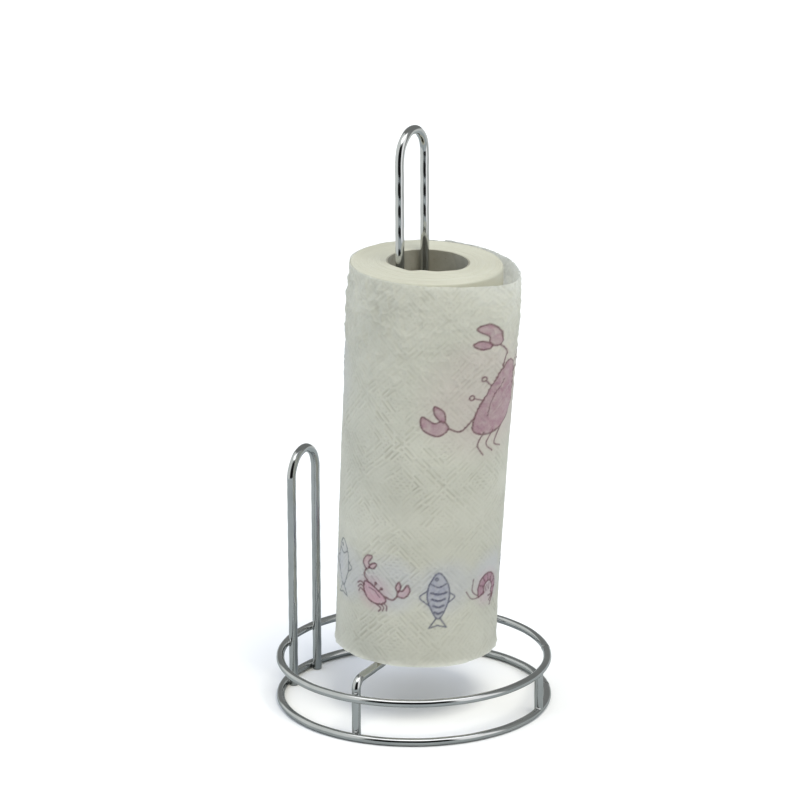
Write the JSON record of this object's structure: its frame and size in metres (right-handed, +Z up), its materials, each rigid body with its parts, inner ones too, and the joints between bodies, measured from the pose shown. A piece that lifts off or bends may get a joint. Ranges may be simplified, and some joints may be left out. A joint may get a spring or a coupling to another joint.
{
  "type": "paper towel holder",
  "caption": "Free-standing kitchen roll holder bent and welded from chromed round wire: twin-ring base, looped centre post and tear bar, with a leaning roll of printed paper towel on it.",
  "frame": {"origin": "centre of the base rings, on the surface that the holder stands on", "axes": "+Z up along the centre post; the bridge wire and the post's two legs lie along Y; the tear bar stands at -X and the roll leans towards +X"},
  "size_m": [0.1542, 0.1538, 0.3296],
  "materials": {
    "chromed_wire": "bright nickel-chrome plate on drawn steel wire",
    "weld_metal": "plated resistance weld, slightly rough",
    "core_board": "spiral-wound grey board",
    "towel_paper": "soft embossed off-white tissue with pink, crimson and blue-violet prints"
  },
  "bodies": {
    "holder": {"lower_ring": "chromed_wire", "upper_ring": "chromed_wire", "bridge_wire": "chromed_wire", "tear_bar": "chromed_wire", "spacer_strut": "chromed_wire", "ring_seam_welds": "weld_metal", "bridge_wire_welds": "weld_metal", "tear_bar_welds": "weld_metal", "spacer_strut_welds": "weld_metal"},
    "roll_core": {"core_inner_ply": "core_board", "core_outer_ply": "core_board"},
    "paper": {"wound_paper": "towel_paper", "loose_sheet": "towel_paper"}
  },
  "joints": [
    {"name": "roll_lift", "type": "slide", "parent": "holder", "child": "roll_core", "axis": [0, 0, 1], "range_m": [0, 0.3]},
    {"name": "paper_turn", "type": "hinge", "parent": "roll_core", "child": "paper", "pos_m": [0.0018, -0.0012, 0.03638], "axis": [0.0379, 0, 0.9993], "continuous": true}
  ]
}
